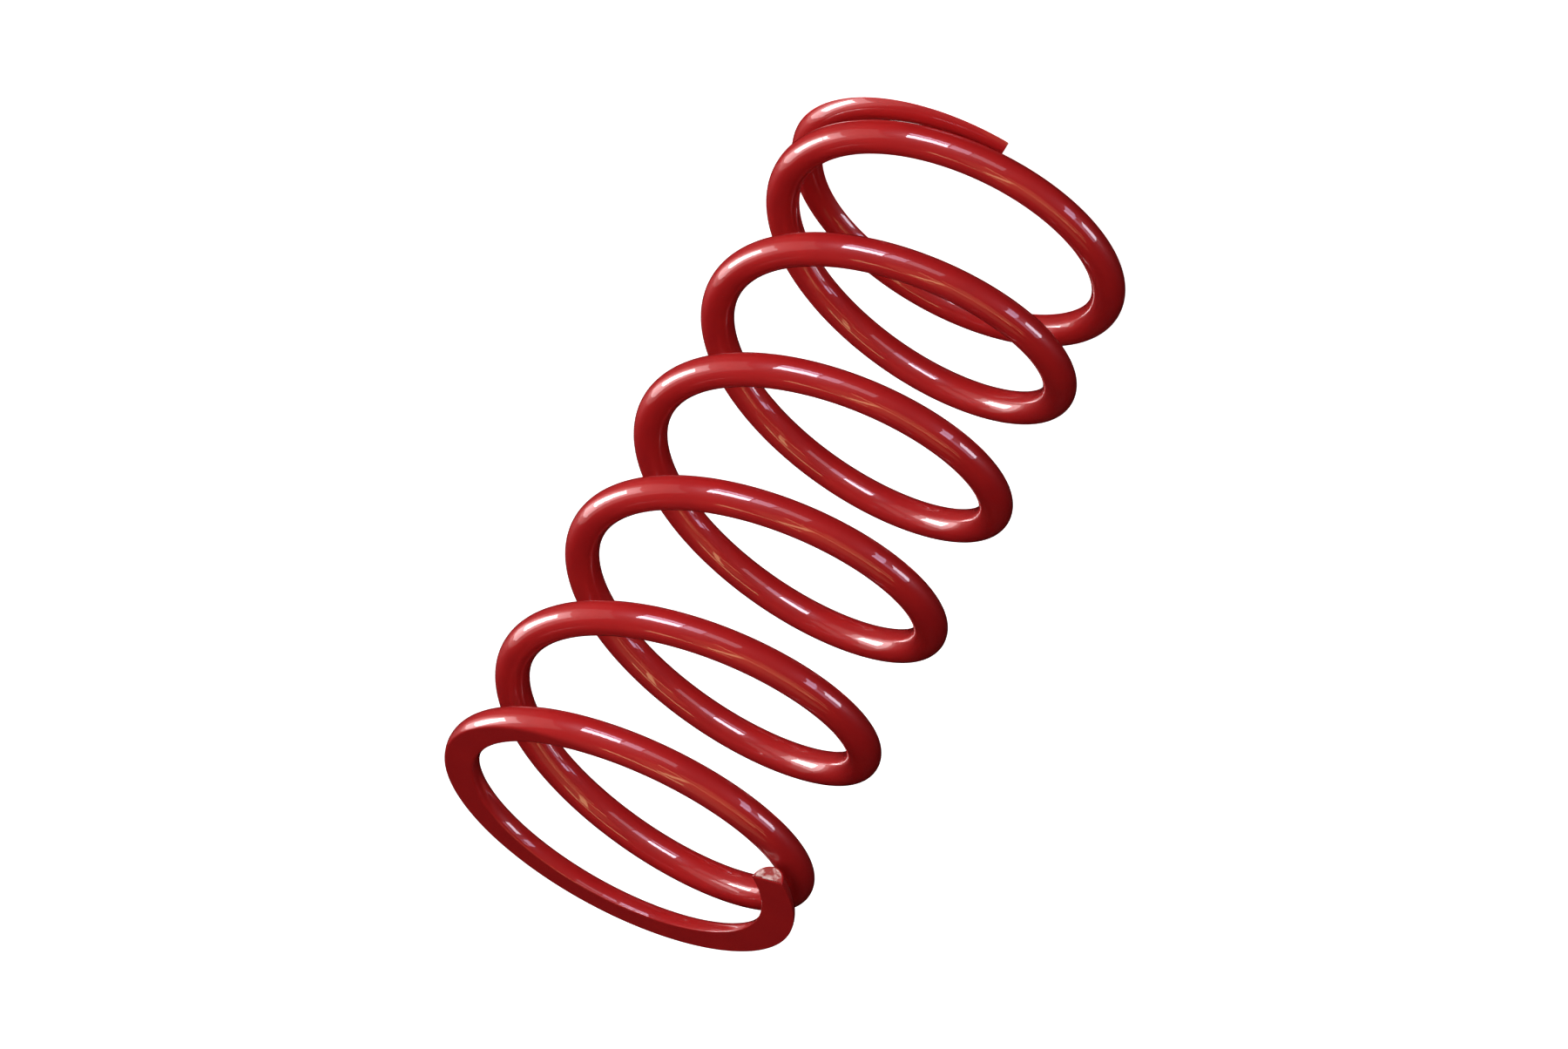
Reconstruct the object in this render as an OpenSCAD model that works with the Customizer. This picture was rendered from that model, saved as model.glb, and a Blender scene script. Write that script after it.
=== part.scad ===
// Helical compression spring for a light car's suspension: round wire, right-hand wound,
// closed and ground flat at both ends. The axis is +Z and the lower seat is at z = 0.
// The wire is one continuous bar on the real spring. Here it is divided by upright radial
// cuts into the two closed end coils and the active coils' arcs, so that it can compress.

/* [Wire] */
// Diameter of the wire
wire_d = 10; // [8:0.5:12]
// Diameter of the coil, measured to the middle of the wire
mean_d = 101; // [90:1:120]

/* [Coil] */
// Height of the free spring, seat to seat
free_length = 227; // [200:1:260]
// Turns of the wire, tip to tip
total_turns = 6.85; // [6.8:0.01:6.9]

/* [End coils: lower, upper] */
// Rise of the wire in one turn where the end coil is closed
closed_pitch = [9, 5]; // [4:0.5:10]
// Turn, counted from the tip, at which the wire starts to lift away
lift_start = [0.65, 0.46]; // [0.4:0.01:0.7]
// Turn, counted from the tip, at which the wire has its full pitch
lift_end = [1.5, 1.31]; // [1.3:0.01:1.5]
// Thickness of wire that grinding leaves at the tip
tip_thickness = [2, 4.6]; // [2:0.1:5]

/* [Division of the active coils] */
// Arcs in one turn
arcs_per_turn = 8; // [8]
// Turns of each end coil that stay in one piece, at least
end_turns_min = 0.95; // [0.95]
// Gap between the cut faces of neighbouring arcs
cut_gap = 0.02; // [0.01:0.01:0.05]

/* [Hidden] */
$fn = 48;
wire_r = wire_d / 2;
mean_r = mean_d / 2;
LOWER = 0;
UPPER = 1;
arc_turns = 1 / arcs_per_turn;
arc_count = floor((total_turns - 2 * end_turns_min) * arcs_per_turn);
end_turns = (total_turns - arc_count * arc_turns) / 2;
cut_angle = cut_gap / 2 / mean_r * 180 / PI;
sweep_spare = 2;
ring_steps = 48;
round_sides = 15;
seat_sides = 6;
flank_angle = -45;

// Height of the wire's middle above an end's seat, at turn t from that end's tip: a closed
// coil, a smooth lift, then the pitch of the active coils. The two ends meet half way.
function unit(u) = min(max(u, 0), 1);
function smooth_area(u) = u * u * u - u * u * u * u / 2;
function lift(end, t) = (t - lift_start[end]) / (lift_end[end] - lift_start[end]);
function lift_area(end, t) =
    (lift_end[end] - lift_start[end]) * smooth_area(unit(lift(end, t)))
    + max(0, t - lift_end[end]);
function closed_rise(end, t) =
    tip_thickness[end] - wire_r + closed_pitch[end] * (t - lift_area(end, t));
half_turns = total_turns / 2;
active_pitch = (free_length - closed_rise(LOWER, half_turns) - closed_rise(UPPER, half_turns))
    / (lift_area(LOWER, half_turns) + lift_area(UPPER, half_turns));
function end_height(end, t) = closed_rise(end, t) + active_pitch * lift_area(end, t);
function wire_height(t) =
    t <= half_turns ? end_height(LOWER, t) : free_length - end_height(UPPER, total_turns - t);

// Slope of the wire near an end, and how much taller an upright cut through it is.
function smooth_step(u) = u * u * (3 - 2 * u);
function end_slope(end, t) = closed_pitch[end]
    + (active_pitch - closed_pitch[end]) * smooth_step(unit(lift(end, t)));
function upright_r(end, t) = wire_r * sqrt(1 + pow(end_slope(end, t) / (PI * mean_d), 2));

// One upright section of an end coil at turn t, as [distance from the axis, height above the
// seat]. The seat cuts the round where the wire is low enough.
function seat_angle(z, r) = max(flank_angle, asin(unit(-z / r) - unit(z / r)));
function section(end, t) = let (z = end_height(end, t), r = upright_r(end, t),
    a = seat_angle(z, r)) concat(
    [for (i = [0:round_sides]) let (v = a + (180 - 2 * a) * i / round_sides)
        [mean_r + wire_r * cos(v), max(0, z + r * sin(v))]],
    [for (i = [1:seat_sides - 1]) let (c = -cos(a) * (1 - 2 * i / seat_sides))
        [mean_r + wire_r * c, max(0, z - r * sqrt(1 - c * c))]]
);
section_points = round_sides + seat_sides;

// A sweep of the sections from the tip to the last turn of an end coil. The upper one is
// turned over about a level axis. Each end face is a fan about its middle.
module end_coil(end) {
    function place(p, t) = let (a = 360 * (end == UPPER ? total_turns - t : t))
        [p[0] * cos(a), p[0] * sin(a), end == UPPER ? free_length - p[1] : p[1]];
    last_turn = end_turns - cut_angle / 360;
    rings = [for (k = [0:ring_steps]) let (t = last_turn * k / ring_steps)
        for (p = section(end, t)) place(p, t)];
    middles = [place([mean_r, tip_thickness[end] / 2], 0),
        place([mean_r, end_height(end, last_turn)], last_turn)];
    sides = [for (k = [0:ring_steps - 1], i = [0:section_points - 1])
        let (j = (i + 1) % section_points, low = k * section_points, high = low + section_points)
        each [[low + i, high + i, low + j], [low + j, high + i, high + j]]];
    last_ring = ring_steps * section_points;
    ends = [for (i = [0:section_points - 1]) let (j = (i + 1) % section_points)
        each [[i, j, len(rings)], [last_ring + j, last_ring + i, len(rings) + 1]]];
    polyhedron(concat(rings, middles), concat(sides, ends), convexity = 4);
}

// A slice of the space around the axis, from -half to +half degrees.
module sector(half, reach, height) {
    linear_extrude(height, center = true)
        polygon([[0, 0], reach * [cos(half), -sin(half)], [reach, 0],
            reach * [cos(half), sin(half)]]);
}

// A round bar bent to an arc of the coil between two turns, with upright cut faces.
module wire_arc(from_turn, to_turn) {
    half = 180 * (to_turn - from_turn);
    low = wire_height(from_turn);
    high = wire_height(to_turn);
    tilt = asin((high - low) / 2 / (mean_r * sin(half)));
    rotate([0, 0, 180 * (from_turn + to_turn)]) translate([0, 0, (low + high) / 2])
        intersection() {
            rotate([tilt, 0, 0]) rotate([0, 0, -half - sweep_spare])
                rotate_extrude(angle = 2 * (half + sweep_spare))
                    translate([mean_r, 0]) circle(d = wire_d);
            sector(half - cut_angle, mean_d, 4 * wire_d);
        }
}

module lower_end_coil() {
    color("firebrick") end_coil(LOWER);
}

module upper_end_coil() {
    color("firebrick") end_coil(UPPER);
}

module active_arc(number) {
    from_turn = end_turns + (number - 1) * arc_turns;
    color("firebrick") wire_arc(from_turn, from_turn + arc_turns);
}

function arc_name(number) = str("active_arc_", number < 10 ? "0" : "", number);

lower_end_coil();
upper_end_coil();
for (number = [1:arc_count])
    active_arc(number);
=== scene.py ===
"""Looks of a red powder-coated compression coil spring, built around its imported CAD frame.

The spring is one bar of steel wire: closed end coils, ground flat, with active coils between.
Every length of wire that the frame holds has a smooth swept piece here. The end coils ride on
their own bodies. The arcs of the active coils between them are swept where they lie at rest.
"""

import logging
import math
from collections.abc import Iterable
from dataclasses import dataclass
from enum import Enum

import bmesh
import bpy
from mathutils import Matrix, Vector

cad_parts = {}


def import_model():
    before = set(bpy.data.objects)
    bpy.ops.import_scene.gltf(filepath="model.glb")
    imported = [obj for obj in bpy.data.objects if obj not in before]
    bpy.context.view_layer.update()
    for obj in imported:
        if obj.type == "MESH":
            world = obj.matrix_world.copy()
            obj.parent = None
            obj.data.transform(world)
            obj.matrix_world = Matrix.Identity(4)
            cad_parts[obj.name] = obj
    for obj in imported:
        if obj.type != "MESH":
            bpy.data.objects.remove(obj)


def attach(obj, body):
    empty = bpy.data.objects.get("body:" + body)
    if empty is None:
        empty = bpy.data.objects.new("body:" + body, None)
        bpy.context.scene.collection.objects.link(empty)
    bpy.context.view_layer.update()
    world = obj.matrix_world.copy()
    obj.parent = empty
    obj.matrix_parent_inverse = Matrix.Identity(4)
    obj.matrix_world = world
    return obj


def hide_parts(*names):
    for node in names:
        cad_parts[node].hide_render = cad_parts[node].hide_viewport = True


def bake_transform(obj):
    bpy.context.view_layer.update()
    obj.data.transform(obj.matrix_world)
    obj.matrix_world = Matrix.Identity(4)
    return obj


LOG = logging.getLogger("coil_spring")
MM = 0.001
FULL_TURN = 2 * math.pi
CUT_MARK = "cut_face"
AROUND_MARK = "around"
ORDER_WAY = Vector((1.0, 0.7548776662, 0.5698402910))
QUAD_CORNERS = 4
WATTS_PER_RADIANCE = 4  # From each square metre of an area light.


class End(Enum):
    """The two ends of the spring, by the CAD node and body of each one's coil."""

    LOWER = "lower_end_coil"
    UPPER = "upper_end_coil"


def unit(value: float) -> float:
    """Holds a value between 0 and 1."""
    return min(max(value, 0.0), 1.0)


def smooth_step(value: float) -> float:
    """A smooth rise from 0 to 1."""
    return value * value * (3 - 2 * value)


def smooth_step_at(share: float) -> float:
    """The value at which smooth_step comes to a share."""
    return 0.5 - math.sin(math.asin(1 - 2 * unit(share)) / 3)


@dataclass(frozen=True)
class EndForm:
    """How one end of the wire is closed and ground, in millimetres and turns from its tip.

    Attributes:
        closed_pitch: Rise in a turn where the end coil is closed.
        lift_start: Turn at which the wire starts to lift out of the closed coil.
        lift_end: Turn at which it has its full pitch.
        tip_thickness: Wire left at the tip by the grinding.
    """

    closed_pitch: float
    lift_start: float
    lift_end: float
    tip_thickness: float

    def lift(self, turn: float) -> float:
        """How far a turn is through the lift, from 0 to 1."""
        return unit((turn - self.lift_start) / (self.lift_end - self.lift_start))

    def lift_area(self, turn: float) -> float:
        """Rise gained by a turn for each millimetre of pitch above the closed pitch.

        Args:
            turn: Turn counted from this end's tip.

        Returns:
            The lift added up over the turns so far.
        """
        u = self.lift(turn)
        past = max(0.0, turn - self.lift_end)
        return (self.lift_end - self.lift_start) * (u**3 - u**4 / 2) + past


@dataclass(frozen=True)
class WireForm:
    """The line that the wire follows, in millimetres and turns counted from the lower tip.

    Attributes:
        wire_d: Diameter of the wire.
        mean_d: Diameter of the coil, to the middle of the wire.
        free_length: Height between the two ground seats.
        total_turns: Turns from tip to tip.
        arcs_per_turn: Arcs that one turn of the active coils is divided into.
        arc_count: Arcs between the two end coils.
        closing_gap: Clearance that the model leaves between closed turns.
        lower: The lower end.
        upper: The upper end.
    """

    wire_d: float = 10.0
    mean_d: float = 101.0
    free_length: float = 227.0
    total_turns: float = 6.85
    arcs_per_turn: int = 8
    arc_count: int = 39
    closing_gap: float = 0.45
    lower: EndForm = EndForm(9.0, 0.65, 1.5, 2.0)
    upper: EndForm = EndForm(5.0, 0.46, 1.31, 4.6)

    @property
    def wire_r(self) -> float:
        """Radius of the wire."""
        return self.wire_d / 2

    @property
    def mean_r(self) -> float:
        """Radius of the coil, to the middle of the wire."""
        return self.mean_d / 2

    @property
    def end_turns(self) -> float:
        """Turns in one end coil's piece."""
        return (self.total_turns - self.arc_count / self.arcs_per_turn) / 2

    def closed_rise(self, end: EndForm, turn: float) -> float:
        """Height above an end's seat that doesn't come from the active coils' pitch.

        Args:
            end: The end.
            turn: Turn counted from its tip.

        Returns:
            The height in millimetres.
        """
        closed = end.closed_pitch * (turn - end.lift_area(turn))
        return end.tip_thickness - self.wire_r + closed

    @property
    def active_pitch(self) -> float:
        """Pitch of the active coils, with which the two ends meet half way.

        Returns:
            The rise in a turn, in millimetres.
        """
        half = self.total_turns / 2
        closed = self.closed_rise(self.lower, half) + self.closed_rise(self.upper, half)
        area = self.lower.lift_area(half) + self.upper.lift_area(half)
        return (self.free_length - closed) / area

    def end_height(self, end: EndForm, turn: float) -> float:
        """Height of the wire's middle above an end's seat, at a turn from that end's tip."""
        return self.closed_rise(end, turn) + self.active_pitch * end.lift_area(turn)

    def end_tallness(self, end: EndForm, turn: float) -> float:
        """How much taller than the wire an upright cut through it is, near an end.

        Args:
            end: The end.
            turn: Turn counted from its tip.

        Returns:
            The ratio, 1 where the wire is level.
        """
        active = smooth_step(end.lift(turn))
        slope = end.closed_pitch + (self.active_pitch - end.closed_pitch) * active
        return math.hypot(1.0, slope / (math.pi * self.mean_d))

    def height(self, turn: float) -> float:
        """Height of the wire's middle above the lower seat.

        Args:
            turn: Turn counted from the lower tip.

        Returns:
            The height in millimetres.
        """
        if turn <= self.total_turns / 2:
            return self.end_height(self.lower, turn)
        return self.free_length - self.end_height(self.upper, self.total_turns - turn)

    def tallness(self, turn: float) -> float:
        """How much taller than the wire an upright cut through it is.

        Args:
            turn: Turn counted from the lower tip.

        Returns:
            The ratio, 1 where the wire is level.
        """
        if turn <= self.total_turns / 2:
            return self.end_tallness(self.lower, turn)
        return self.end_tallness(self.upper, self.total_turns - turn)

    def closing(self, turn: float) -> float:
        """How far the wire comes down when the turns close on each other."""
        fallen = (self.wire_d + self.closing_gap) * (turn - self.end_turns)
        return self.height(turn) - self.height(self.end_turns) - fallen

    def share(self, turn: float) -> float:
        """Share of the spring's compression that the wire moves through at a turn."""
        return self.closing(turn) / self.closing(self.total_turns - self.end_turns)


@dataclass(frozen=True)
class Patch:
    """How finely the swept wire is divided.

    Attributes:
        around: Points around the wire.
        rings_per_turn: Sections in one turn.
        round_tolerance: How far off the round a point may be, in radii, to be shaded as round.
    """

    around: int = 48
    rings_per_turn: int = 192
    round_tolerance: float = 0.002


def add_node(
    tree: bpy.types.NodeTree,
    kind: str,
    settings: dict[str | int, object],
    links: dict[str | int, bpy.types.NodeSocket],
) -> bpy.types.Node:
    """Adds a shader node with its settings and what feeds it.

    Args:
        tree: Node tree to add to.
        kind: Blender's name for the node type.
        settings: Values by property name, or by input name or number.
        links: Output sockets by the input name or number that they feed.

    Returns:
        The new node.
    """
    node = tree.nodes.new(kind)
    for key, value in settings.items():
        if isinstance(key, str) and hasattr(node, key):
            setattr(node, key, value)
        else:
            node.inputs[key].default_value = value
    for key, socket in links.items():
        tree.links.new(socket, node.inputs[key])
    return node


def linear(colour: str) -> tuple[float, float, float, float]:
    """Turns an sRGB hex colour into the linear values that a shader takes.

    Args:
        colour: Colour as "#RRGGBB".

    Returns:
        Linear red, green and blue, and a full alpha.
    """
    parts = [int(colour[i : i + 2], 16) / 255 for i in (1, 3, 5)]
    red, green, blue = (
        p / 12.92 if p <= 0.04045 else ((p + 0.055) / 1.055) ** 2.4 for p in parts
    )
    return red, green, blue, 1.0


@dataclass(frozen=True)
class RedPowderCoat:
    """Gloss polyester powder coat on steel wire: sprayed dry, then melted to one smooth skin.

    To the eye it is a sharp, clear gloss over a deep red, with a faint orange peel and a few
    nibs. On the cut face of a cropped tip, pale blotches are painted into the colour as a
    highlight, standing in for the gloss there mirroring a bright window.

    Attributes:
        body_red: The red of the full coat.
        thin_red: The red where the coat is thinner.
        tip_painted_highlight: Pale blotches painted on a tip's cut face as a highlight, where the
            gloss mirrors a window.
        tip_highlight_red: The red between those painted highlight blotches.
        drift_mm: Size of the patches between the two reds.
        tip_highlight_blotch_mm: Size of the painted highlight blotches on a tip's cut face.
        peel_mm: Spacing of the orange peel.
        peel_depth_mm: Depth of the orange peel.
        grain_mm: Grain of the coat under its gloss.
        grain_depth_mm: Depth of the grain.
        nib_gap_mm: Distance between nibs, the specks that dust leaves in the coat.
        nib_mm: Radius of a nib.
        nib_height_mm: Height of a nib.
    """

    body_red: str = "#C42322"
    thin_red: str = "#AE1C21"
    tip_painted_highlight: str = "#F4DCDA"
    tip_highlight_red: str = "#B04A48"
    drift_mm: float = 14.0
    tip_highlight_blotch_mm: float = 2.4
    peel_mm: float = 2.2
    peel_depth_mm: float = 0.05
    grain_mm: float = 0.5
    grain_depth_mm: float = 0.01
    nib_gap_mm: float = 7.0
    nib_mm: float = 0.5
    nib_height_mm: float = 0.08

    def build(self) -> bpy.types.Material:
        """Makes the paint's material.

        Returns:
            The new material.
        """
        material = bpy.data.materials.new("red_powder_coat")
        material.use_nodes = True
        tree = material.node_tree
        tree.nodes.clear()
        place = add_node(tree, "ShaderNodeTexCoord", {}, {}).outputs["Object"]
        clouds = add_node(
            tree,
            "ShaderNodeTexNoise",
            {"Scale": 1 / (self.drift_mm * MM), "Detail": 3.0},
            {"Vector": place},
        )
        colour = add_node(
            tree,
            "ShaderNodeMix",
            {"data_type": "RGBA", 6: linear(self.body_red), 7: linear(self.thin_red)},
            {0: clouds.outputs["Fac"]},
        )
        # Pale blotches of painted highlight for the tip's cut face, standing in for the gloss
        # mirroring a window.
        tip_highlight_noise = add_node(
            tree,
            "ShaderNodeTexNoise",
            {"Scale": 1 / (self.tip_highlight_blotch_mm * MM), "Detail": 2.0, "Distortion": 0.6},
            {"Vector": place},
        )
        tip_highlight_share = add_node(
            tree,
            "ShaderNodeMapRange",
            {"From Min": 0.4, "From Max": 0.6},
            {"Value": tip_highlight_noise.outputs["Fac"]},
        )
        tip_highlight_colour = add_node(
            tree,
            "ShaderNodeMix",
            {"data_type": "RGBA", 6: linear(self.tip_highlight_red), 7: linear(self.tip_painted_highlight)},
            {0: tip_highlight_share.outputs["Result"]},
        )
        # The tip's cut face takes the painted highlight in place of the coat's red.
        cut = add_node(tree, "ShaderNodeAttribute", {"attribute_name": CUT_MARK}, {})
        skin_colour = add_node(
            tree,
            "ShaderNodeMix",
            {"data_type": "RGBA"},
            {0: cut.outputs["Fac"], 6: colour.outputs[2], 7: tip_highlight_colour.outputs[2]},
        )
        peel = add_node(
            tree,
            "ShaderNodeTexNoise",
            {"Scale": 1 / (self.peel_mm * MM), "Detail": 1.5},
            {"Vector": place},
        )
        grain = add_node(
            tree,
            "ShaderNodeTexNoise",
            {"Scale": 1 / (self.grain_mm * MM), "Detail": 2.0},
            {"Vector": place},
        )
        peel_bump = add_node(
            tree,
            "ShaderNodeBump",
            {"Strength": 0.35, "Distance": self.peel_depth_mm * MM},
            {"Height": peel.outputs["Fac"]},
        )
        specks = add_node(
            tree,
            "ShaderNodeTexVoronoi",
            {"Scale": 1 / (self.nib_gap_mm * MM), "Randomness": 1.0},
            {"Vector": place},
        )
        nibs = add_node(
            tree,
            "ShaderNodeMapRange",
            {
                "interpolation_type": "SMOOTHSTEP",
                "From Max": self.nib_mm / self.nib_gap_mm,
                "To Min": 1.0,
                "To Max": 0.0,
            },
            {"Value": specks.outputs["Distance"]},
        )
        gloss_skin = add_node(
            tree,
            "ShaderNodeBump",
            {"Strength": 0.6, "Distance": self.nib_height_mm * MM},
            {"Height": nibs.outputs["Result"], "Normal": peel_bump.outputs["Normal"]},
        )
        skin = add_node(
            tree,
            "ShaderNodeBump",
            {"Strength": 0.12, "Distance": self.grain_depth_mm * MM},
            {"Height": grain.outputs["Fac"], "Normal": gloss_skin.outputs["Normal"]},
        )
        rough = add_node(
            tree,
            "ShaderNodeMapRange",
            {"From Min": 0.3, "From Max": 0.7, "To Min": 0.3, "To Max": 0.42},
            {"Value": grain.outputs["Fac"]},
        )
        shader = add_node(
            tree,
            "ShaderNodeBsdfPrincipled",
            {
                "IOR": 1.5,
                "Specular IOR Level": 0.15,
                "Coat Weight": 1.0,
                "Coat Roughness": 0.02,
                "Coat IOR": 1.5,
            },
            {
                "Base Color": skin_colour.outputs[2],
                "Roughness": rough.outputs["Result"],
                "Normal": skin.outputs["Normal"],
                "Coat Normal": gloss_skin.outputs["Normal"],
            },
        )
        add_node(tree, "ShaderNodeOutputMaterial", {}, {"Surface": shader.outputs["BSDF"]})
        return material


@dataclass(frozen=True)
class WhiteAcrylic:
    """Matt white acrylic sheet, lit from below. To the eye it is an even white, with no edge.

    Attributes:
        white: Colour of the sheet.
        glow: Colour of the light that comes through it.
    """

    white: str = "#F2F2F2"
    glow: str = "#FFFFFF"

    def build(self) -> bpy.types.Material:
        """Makes the sheet's material.

        Returns:
            The new material.
        """
        material = bpy.data.materials.new("white_acrylic")
        material.use_nodes = True
        tree = material.node_tree
        tree.nodes.clear()
        shader = add_node(
            tree,
            "ShaderNodeBsdfPrincipled",
            {
                "Base Color": linear(self.white),
                "Roughness": 0.9,
                "Specular IOR Level": 0.0,
                "Emission Color": linear(self.glow),
                "Emission Strength": 1.0,
            },
            {},
        )
        add_node(tree, "ShaderNodeOutputMaterial", {}, {"Surface": shader.outputs["BSDF"]})
        return material


def ring_edges(geometry: Iterable[object]) -> list[bmesh.types.BMEdge]:
    """The edges among the parts that an operator gives back."""
    return [part for part in geometry if isinstance(part, bmesh.types.BMEdge)]


def put_in_order(mesh: bmesh.types.BMesh) -> None:
    """Numbers a mesh's points and faces by where they are, so that each run gives the same.

    Args:
        mesh: The mesh.
    """
    mesh.verts.sort(key=lambda vert: vert.co.dot(ORDER_WAY))
    mesh.edges.sort(key=lambda edge: (edge.verts[0].co + edge.verts[1].co).dot(ORDER_WAY))
    mesh.faces.sort(key=lambda face: face.calc_center_median().dot(ORDER_WAY))


def is_flat_end(corners: int) -> bool:
    """Whether a face with this many corners is a flat end, not one of the sweep's quads."""
    return corners > QUAD_CORNERS


@dataclass
class SweptWire:
    """A length of the wire, swept section by section.

    Attributes:
        form: The line that the wire follows.
        patch: How finely it is divided.
        from_turn: Where it starts.
        to_turn: Where it ends.
    """

    form: WireForm
    patch: Patch
    from_turn: float
    to_turn: float

    def height(self, turn: float) -> float:
        """Height of the wire's middle, in millimetres."""
        return self.form.height(turn)

    def tallness(self, turn: float) -> float:
        """How much taller than the wire an upright cut through it is."""
        return self.form.tallness(turn)

    def section(self, turn: float, around: float) -> Vector:
        """A point of the upright section, as distance from the wire's middle, in millimetres.

        Args:
            turn: Where along the wire.
            around: Angle around the section.

        Returns:
            The offset outwards in x and upwards in z.
        """
        tall = self.form.wire_r * self.tallness(turn)
        return Vector((self.form.wire_r * math.cos(around), 0.0, tall * math.sin(around)))

    def place(self, turn: float, around: float) -> Vector:
        """A point of the wire's surface.

        Args:
            turn: Where along the wire.
            around: Angle around the section.

        Returns:
            The point, in metres.
        """
        offset = self.section(turn, around)
        out = self.form.mean_r + offset.x
        angle = FULL_TURN * turn
        up = self.height(turn) + offset.z
        return MM * Vector((out * math.cos(angle), out * math.sin(angle), up))

    def sweep(self) -> bmesh.types.BMesh:
        """Turns a round section about the coil's axis and sets each new section on the line.

        Returns:
            The closed mesh.
        """
        mesh = bmesh.new()
        keep = mesh.verts.layers.float.new(AROUND_MARK)
        made = bmesh.ops.create_circle(mesh, segments=self.patch.around, radius=MM)["verts"]
        for vert in made:
            vert[keep] = math.atan2(vert.co.y, vert.co.x)
        self.settle(made, keep, self.from_turn)
        ring = list(dict.fromkeys(edge for vert in made for edge in vert.link_edges))
        bmesh.ops.edgeloop_fill(mesh, edges=ring)
        steps = round((self.to_turn - self.from_turn) * self.patch.rings_per_turn)
        for step in range(1, steps + 1):
            turn = self.from_turn + (self.to_turn - self.from_turn) * step / steps
            spun = bmesh.ops.spin(
                mesh,
                geom=ring,
                cent=(0, 0, 0),
                axis=(0, 0, 1),
                dvec=(0, 0, 0),
                angle=FULL_TURN * (self.to_turn - self.from_turn) / steps,
                steps=1,
                use_merge=False,
                use_duplicate=False,
            )
            ring = ring_edges(spun["geom_last"])
            section = dict.fromkeys(vert for edge in ring for vert in edge.verts)
            self.settle(section, keep, turn)
        bmesh.ops.edgeloop_fill(mesh, edges=ring)
        bmesh.ops.recalc_face_normals(mesh, faces=mesh.faces)
        return mesh

    def settle(
        self, verts: Iterable[bmesh.types.BMVert], keep: bmesh.types.BMLayerItem, turn: float
    ) -> None:
        """Puts a section's points where the line and the section's shape have them.

        Args:
            verts: The section's points.
            keep: The layer that holds each point's angle around the section.
            turn: Where along the wire the section stands.
        """
        for vert in verts:
            vert.co = self.place(turn, vert[keep])

    def surface_normal(self, point: Vector) -> Vector:
        """The round wire's own normal at a point of its surface, or none off the surface.

        Args:
            point: A point of the mesh, in metres.

        Returns:
            The unit normal, or a zero vector where the point isn't on the round.
        """
        angle = math.atan2(point.y, point.x)
        first = FULL_TURN * self.from_turn
        slack = 0.03  # Radians before the first section that still count as on this length.
        turn = self.from_turn + ((angle - first + slack) % FULL_TURN - slack) / FULL_TURN
        out = math.hypot(point.x, point.y) / MM - self.form.mean_r
        tall = self.tallness(turn)
        up = (point.z / MM - self.height(turn)) / tall
        off_round = abs(math.hypot(out, up) - self.form.wire_r)
        if off_round > self.patch.round_tolerance * self.form.wire_r:
            return Vector((0, 0, 0))
        cos_slope = 1 / tall
        sin_slope = math.sqrt(1 - cos_slope * cos_slope)
        outward = Vector((math.cos(angle), math.sin(angle), 0))
        forward = Vector((-math.sin(angle), math.cos(angle), 0))
        upward = cos_slope * Vector((0, 0, 1)) - sin_slope * forward
        return (out * outward + up * upward).normalized()

    def make_object(self, name: str, paint: bpy.types.Material) -> bpy.types.Object:
        """Makes the mesh object, with the true normals of a round wire on its round faces.

        Args:
            name: Name of the piece.
            paint: The material that covers it.

        Returns:
            The new object, linked to the scene.
        """
        built = self.sweep()
        put_in_order(built)
        data = bpy.data.meshes.new(name)
        built.to_mesh(data)
        built.free()
        data.materials.append(paint)
        data.shade_smooth()
        data.normals_split_custom_set(self.corner_normals(data))
        piece = bpy.data.objects.new(name, data)
        bpy.context.scene.collection.objects.link(piece)
        return piece

    def corner_normals(self, data: bpy.types.Mesh) -> list[Vector]:
        """The normal of each face corner: the wire's own, or the face's on a flat end.

        Args:
            data: The mesh.

        Returns:
            The normals, in the order of the faces' corners.
        """
        normals = []
        for face in data.polygons:
            flat = is_flat_end(len(face.vertices))
            for index in face.vertices:
                point = data.vertices[index].co
                normals.append(face.normal.copy() if flat else self.surface_normal(point))
        return normals


@dataclass
class ActiveArc(SweptWire):
    """An arc of the active coils, between the two end coils.

    Attributes:
        number: Its place, counted from the lower end coil.
    """

    number: int = 1

    def blend_points(self) -> tuple[Vector, Vector]:
        """Where the arc's blend between the two end coils starts and ends.

        A point's share of the compression is a smooth step between the two points, measured
        along the tangent at the arc's middle. They are placed so that the share comes out
        right at both cut faces.

        Returns:
            The two points, in metres.
        """
        middle = math.pi * (self.from_turn + self.to_turn)
        along = Vector((-math.sin(middle), math.cos(middle), 0))
        reach = self.form.mean_r * math.sin(math.pi * (self.to_turn - self.from_turn)) * MM
        low = smooth_step_at(self.form.share(self.from_turn))
        high = smooth_step_at(self.form.share(self.to_turn))
        length = 2 * reach / (high - low)
        start = -reach - low * length
        return along * start, along * (start + length)

    def build(self, paint: bpy.types.Material) -> bpy.types.Object:
        """Makes the arc at rest, works out its blend points without using them, and hides the
        frame's node for it.

        Args:
            paint: The material that covers it.

        Returns:
            The new piece.
        """
        piece = self.make_object(f"wire_arc_{self.number:02d}", paint)
        start, end = self.blend_points()
        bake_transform(piece)
        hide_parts(f"active_arc_{self.number:02d}")
        return piece


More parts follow.
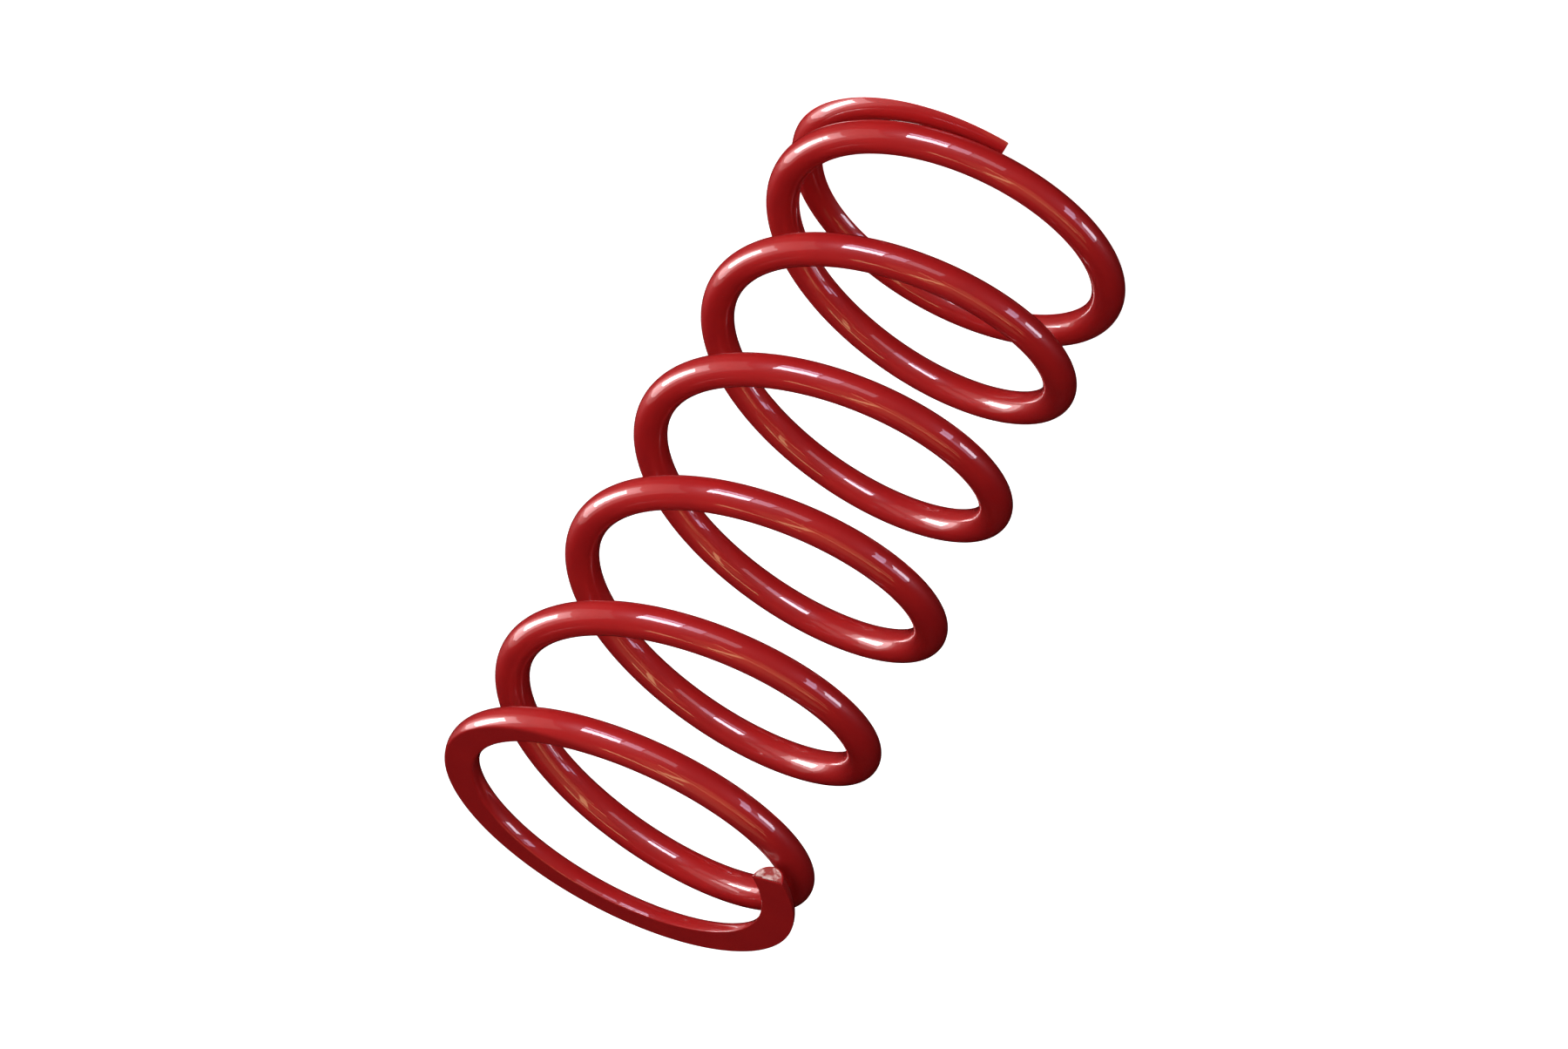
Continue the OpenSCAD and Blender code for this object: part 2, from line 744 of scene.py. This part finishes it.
@dataclass
class GroundEnd(SweptWire):
    """A closed end coil with its ground seat, made as the lower one.

    Attributes:
        end: Which end of the spring it is.
        edge_mm: Reach of the soft edge around the seat.
        flank: Angle around the section at which the round gives way to the seat, at the least.
        seat_share: Share of a section's points that go across the seat.
        rim_mm: Width of the soft rim around the cropped tip.
        rim_steps: Faces across that rim.
    """

    end: End = End.LOWER
    edge_mm: float = 0.5
    flank: float = -math.pi / 4
    seat_share: float = 0.3
    rim_mm: float = 0.4
    rim_steps: int = 3

    @property
    def end_form(self) -> EndForm:
        """How this end is closed and ground."""
        return self.form.lower if self.end is End.LOWER else self.form.upper

    def height(self, turn: float) -> float:
        """Height of the wire's middle above this end's seat, in millimetres."""
        return self.form.end_height(self.end_form, turn)

    def tallness(self, turn: float) -> float:
        """How much taller than the wire an upright cut through it is."""
        return self.form.end_tallness(self.end_form, turn)

    def sweep(self) -> bmesh.types.BMesh:
        """Sweeps the coil, then softens the rim of its cropped tip and marks the cut face.

        Returns:
            The closed mesh.
        """
        mesh = super().sweep()
        cut_mark = mesh.faces.layers.float.new(CUT_MARK)
        bmesh.ops.bevel(
            mesh,
            geom=list(self.tip_face(mesh).edges),
            offset=self.rim_mm * MM,
            offset_type="OFFSET",
            segments=self.rim_steps,
            profile=0.5,
            affect="EDGES",
            material=-1,
        )
        # The mark puts the painted highlight blotches on this cut face.
        self.tip_face(mesh)[cut_mark] = 1.0
        return mesh

    def tip_face(self, mesh: bmesh.types.BMesh) -> bmesh.types.BMFace:
        """The flat face at the tip, of the two flat faces that close the sweep.

        Args:
            mesh: The swept coil.

        Returns:
            The tip's face.
        """
        flats = [face for face in mesh.faces if is_flat_end(len(face.verts))]
        return min(flats, key=lambda face: abs(face.calc_center_median().y))

    def section(self, turn: float, around: float) -> Vector:
        """The upright section with what is below the seat ground away.

        The points keep their order: most go around the round that is left and the rest
        across the seat, with a soft edge between the two.

        Args:
            turn: Where along the wire, counted from this end's tip.
            around: Angle around the section.

        Returns:
            The offset outwards in x and upwards in z, in millimetres.
        """
        r = self.form.wire_r
        tall = r * self.tallness(turn)
        seat = -self.height(turn)
        corner = max(self.flank, math.asin(max(-1.0, min(seat / tall, 1.0))))
        spread = (around / FULL_TURN + 0.25) % 1.0
        low = self.seat_share / 2
        if low <= spread <= 1 - low:
            part = (spread - low) / (1 - 2 * low)
            # Half even and half eased, so that the points stand closer at the two edges.
            eased = 0.5 * part + 0.25 * (1 - math.cos(math.pi * part))
            angle = corner + (math.pi - 2 * corner) * eased
            out, up = r * math.cos(angle), tall * math.sin(angle)
        else:
            part = ((spread - 1 + low) % 1.0) / self.seat_share
            out = -r * math.cos(corner) * math.cos(math.pi * part)
            up = -tall * math.sqrt(max(0.0, 1 - (out / r) ** 2))
        overlap = max(self.edge_mm - abs(up - seat), 0.0)
        up = max(up, seat) + overlap * overlap / (4 * self.edge_mm)
        return Vector((out, 0.0, up))

    def build(self, paint: bpy.types.Material) -> bpy.types.Object:
        """Makes the end coil, turns it over if it is the upper one, and ties it to the frame.

        Args:
            paint: The material that covers it.

        Returns:
            The new piece.
        """
        piece = self.make_object(self.end.value.replace("coil", "wire"), paint)
        if self.end is End.UPPER:
            over = Matrix.Rotation(math.pi, 4, "X")
            swing = Matrix.Rotation(FULL_TURN * self.form.total_turns, 4, "Z")
            lift = Matrix.Translation((0, 0, self.form.free_length * MM))
            piece.data.transform(lift @ swing @ over)
        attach(piece, self.end.value)
        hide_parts(self.end.value)
        return piece


@dataclass
class CoilSpring:
    """The whole spring: two ground end coils and the arcs of wire between them.

    Attributes:
        form: The line that the wire follows.
        patch: How finely it is divided.
    """

    form: WireForm
    patch: Patch

    def build(self, paint: bpy.types.Material) -> list[bpy.types.Object]:
        """Makes every piece of the spring.

        Args:
            paint: The material that covers the wire.

        Returns:
            The pieces, from the lower end to the upper.
        """
        step = 1 / self.form.arcs_per_turn
        first = self.form.end_turns
        lower, upper = (GroundEnd(self.form, self.patch, 0.0, first, end=end) for end in End)
        pieces = [lower.build(paint)]
        for k in range(self.form.arc_count):
            start = first + k * step
            arc = ActiveArc(self.form, self.patch, start, start + step, number=k + 1)
            pieces.append(arc.build(paint))
        pieces.append(upper.build(paint))
        return pieces


@dataclass(frozen=True)
class SoftPanel:
    """A soft light panel that faces the spring. It either lights or mirrors in the gloss.

    Attributes:
        name: Name of the light.
        azimuth: Lowest and highest direction from the spring, in degrees from +X.
        elevation: Lowest and highest angle above the level, in degrees.
        radiance: Brightness of its face, where the floor's is about 1.
        colour: sRGB hex colour.
        lights: Whether it lights the paint, and not only mirrors in its gloss.
        distance: Metres from the spring.
    """

    name: str
    azimuth: tuple[float, float]
    elevation: tuple[float, float]
    radiance: float
    colour: str = "#FFFFFF"
    lights: bool = False
    distance: float = 1.6

    def reach(self, ends: tuple[float, float]) -> float:
        """Metres across that a range of degrees takes up, at the panel's distance."""
        return 2 * self.distance * math.tan(math.radians(ends[1] - ends[0]) / 2)

    def build(self, target: Vector) -> bpy.types.Object:
        """Places the panel so that it faces the target.

        Args:
            target: The point that it faces, in metres.

        Returns:
            The new light, linked to the scene.
        """
        light = bpy.data.lights.new(self.name, "AREA")
        light.shape = "RECTANGLE"
        light.size = self.reach(self.azimuth)
        light.size_y = self.reach(self.elevation)
        light.energy = WATTS_PER_RADIANCE * light.size * light.size_y * self.radiance
        light.color = linear(self.colour)[:3]
        panel = bpy.data.objects.new(self.name, light)
        way = direction(sum(self.azimuth) / 2, sum(self.elevation) / 2)
        panel.location = target + way * self.distance
        panel.rotation_euler = way.to_track_quat("Z", "Y").to_euler()
        panel.visible_camera = False
        panel.visible_diffuse = self.lights
        panel.visible_glossy = not self.lights
        bpy.context.scene.collection.objects.link(panel)
        return panel


def direction(azimuth: float, elevation: float) -> Vector:
    """The unit vector at an azimuth and an elevation.

    Args:
        azimuth: Degrees from +X.
        elevation: Degrees above the level.

    Returns:
        The vector.
    """
    a, e = math.radians(azimuth), math.radians(elevation)
    return Vector((math.cos(e) * math.cos(a), math.cos(e) * math.sin(a), math.sin(e)))


@dataclass(frozen=True)
class Studio:
    """A pale, even floor, soft panels, and the camera.

    Attributes:
        floor_r: Radius of the floor, in metres.
        floor_sides: Sides of its outline.
        lit_height: Height of the point that the panels face, in millimetres.
        aim: Point that the camera faces, in millimetres.
        distance: Millimetres from the camera to that point.
        azimuth: Direction of the camera from it, in degrees.
        elevation: Angle of the camera above it, in degrees.
        roll: Turn of the camera about its view, anticlockwise, in degrees.
        lens: Focal length in millimetres, on a sensor 36 mm wide.
    """

    floor_r: float = 30.0
    floor_sides: int = 96
    lit_height: float = 110.0
    aim: tuple[float, float, float] = (-2.0, 1.6, 115.2)
    distance: float = 1832.0
    azimuth: float = 2.09
    elevation: float = 24.71
    roll: float = -151.12
    lens: float = 144.96

    def build(self) -> None:
        """Makes the floor, the world, the lights and the camera."""
        self.add_floor()
        self.add_world()
        target = Vector((0, 0, self.lit_height * MM))
        for panel in (
            SoftPanel("window_top", (25, 49), (-3, 13), 19, "#EFEDFF"),
            SoftPanel("window_low", (26, 49), (-16, -7), 7, "#EBDDFF"),
            SoftPanel("window_edge", (12, 24), (-13, 11), 3.6, "#F2E2FF"),
            SoftPanel("window_dim", (-9, 11), (-12, 10), 1.7, "#F4E4F0"),
            SoftPanel("side_window_left", (-80, -66), (-24, -10), 9, "#EFEDFF"),
            SoftPanel("side_window_right", (-59, -51), (-28, 1), 4.5, "#E6DAFF"),
            SoftPanel("side_window_dim", (-80, -51), (-8, 3), 1.6, "#E6DAFF"),
            SoftPanel("broad_panel", (100, 125), (4, 19), 14, "#FFFAFC"),
            SoftPanel("broad_rim", (91, 135), (-2, 28), 2.6, "#FFEAEC"),
            SoftPanel("broad_glow", (66, 140), (-12, 42), 0.6, "#FFD8D2"),
            SoftPanel("tan_wall", (-98, -22), (54, 82), 0.6, "#D8A078"),
            SoftPanel("tan_beam_front", (-30, -25), (50, 76), 4.2, "#FFDCA0"),
            SoftPanel("tan_beam_over", (-20, 8), (82.5, 87.5), 4.6, "#FFDCA0"),
            SoftPanel("tan_shelf_top", (-75, -14), (46.5, 49.5), 4.2, "#FFC890"),
            SoftPanel("tan_shelf_middle", (-85, -24), (38, 40.5), 3.8, "#E8B080"),
            SoftPanel("tan_shelf_low", (-80, -30), (30.2, 31.8), 3.6, "#E8B080"),
            SoftPanel("right_light", (85, 145), (-40, 15), 2.6, "#FFF4F0", lights=True),
            SoftPanel("front_light", (0, 60), (-15, 45), 1.65, "#FFF4F0", lights=True),
            SoftPanel("left_light", (-55, 5), (-30, 25), 0.7, lights=True),
            SoftPanel("top_light", (-30, 30), (60, 120), 0.5, lights=True),
            SoftPanel("back_light", (150, 215), (-55, 5), 1.8, lights=True),
            SoftPanel("back_fill", (185, 245), (20, 70), 0.1, lights=True),
        ):
            panel.build(target)
        self.add_camera()

    def add_floor(self) -> None:
        """A round sheet of white acrylic, which only the camera sees."""
        mesh = bmesh.new()
        bmesh.ops.create_circle(
            mesh, cap_ends=True, segments=self.floor_sides, radius=self.floor_r
        )
        data = bpy.data.meshes.new("floor")
        mesh.to_mesh(data)
        mesh.free()
        data.materials.append(WhiteAcrylic().build())
        floor = bpy.data.objects.new("floor", data)
        floor.visible_diffuse = False
        floor.visible_glossy = False
        floor.visible_shadow = False
        bpy.context.scene.collection.objects.link(floor)

    def add_world(self) -> None:
        """An even, white surround, which only the camera sees."""
        world = bpy.data.worlds.new("surround")
        world.use_nodes = True
        world.node_tree.nodes.clear()
        shade = add_node(
            world.node_tree,
            "ShaderNodeBackground",
            {"Color": linear("#FFFFFF"), "Strength": 1.0},
            {},
        )
        world.cycles_visibility.diffuse = False
        world.cycles_visibility.glossy = False
        add_node(
            world.node_tree, "ShaderNodeOutputWorld", {}, {"Surface": shade.outputs["Background"]}
        )
        bpy.context.scene.world = world

    def add_camera(self) -> None:
        """The camera, tilted and rolled so that the upper end of the spring comes nearest."""
        data = bpy.data.cameras.new("camera")
        data.lens = self.lens
        data.sensor_width = 36.0
        camera = bpy.data.objects.new("camera", data)
        back = direction(self.azimuth, self.elevation)
        right = Vector((0, 0, 1)).cross(back).normalized()
        level = Matrix((right, back.cross(right), back)).transposed()
        turned = Matrix.Rotation(math.radians(self.roll), 3, back) @ level
        place = Vector(self.aim) * MM + back * self.distance * MM
        camera.matrix_world = Matrix.Translation(place) @ turned.to_4x4()
        bpy.context.scene.collection.objects.link(camera)
        bpy.context.scene.camera = camera


def main() -> None:
    """Builds the studio and the spring around the frame."""
    logging.basicConfig(level=logging.INFO, format="%(name)s: %(message)s")
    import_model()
    bpy.context.scene.view_settings.view_transform = "Standard"
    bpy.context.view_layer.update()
    Studio().build()
    spring = CoilSpring(WireForm(), Patch())
    for piece in spring.build(RedPowderCoat().build()):
        LOG.info("%s: %d faces", piece.name, len(piece.data.polygons))


if __name__ == "__main__":
    main()
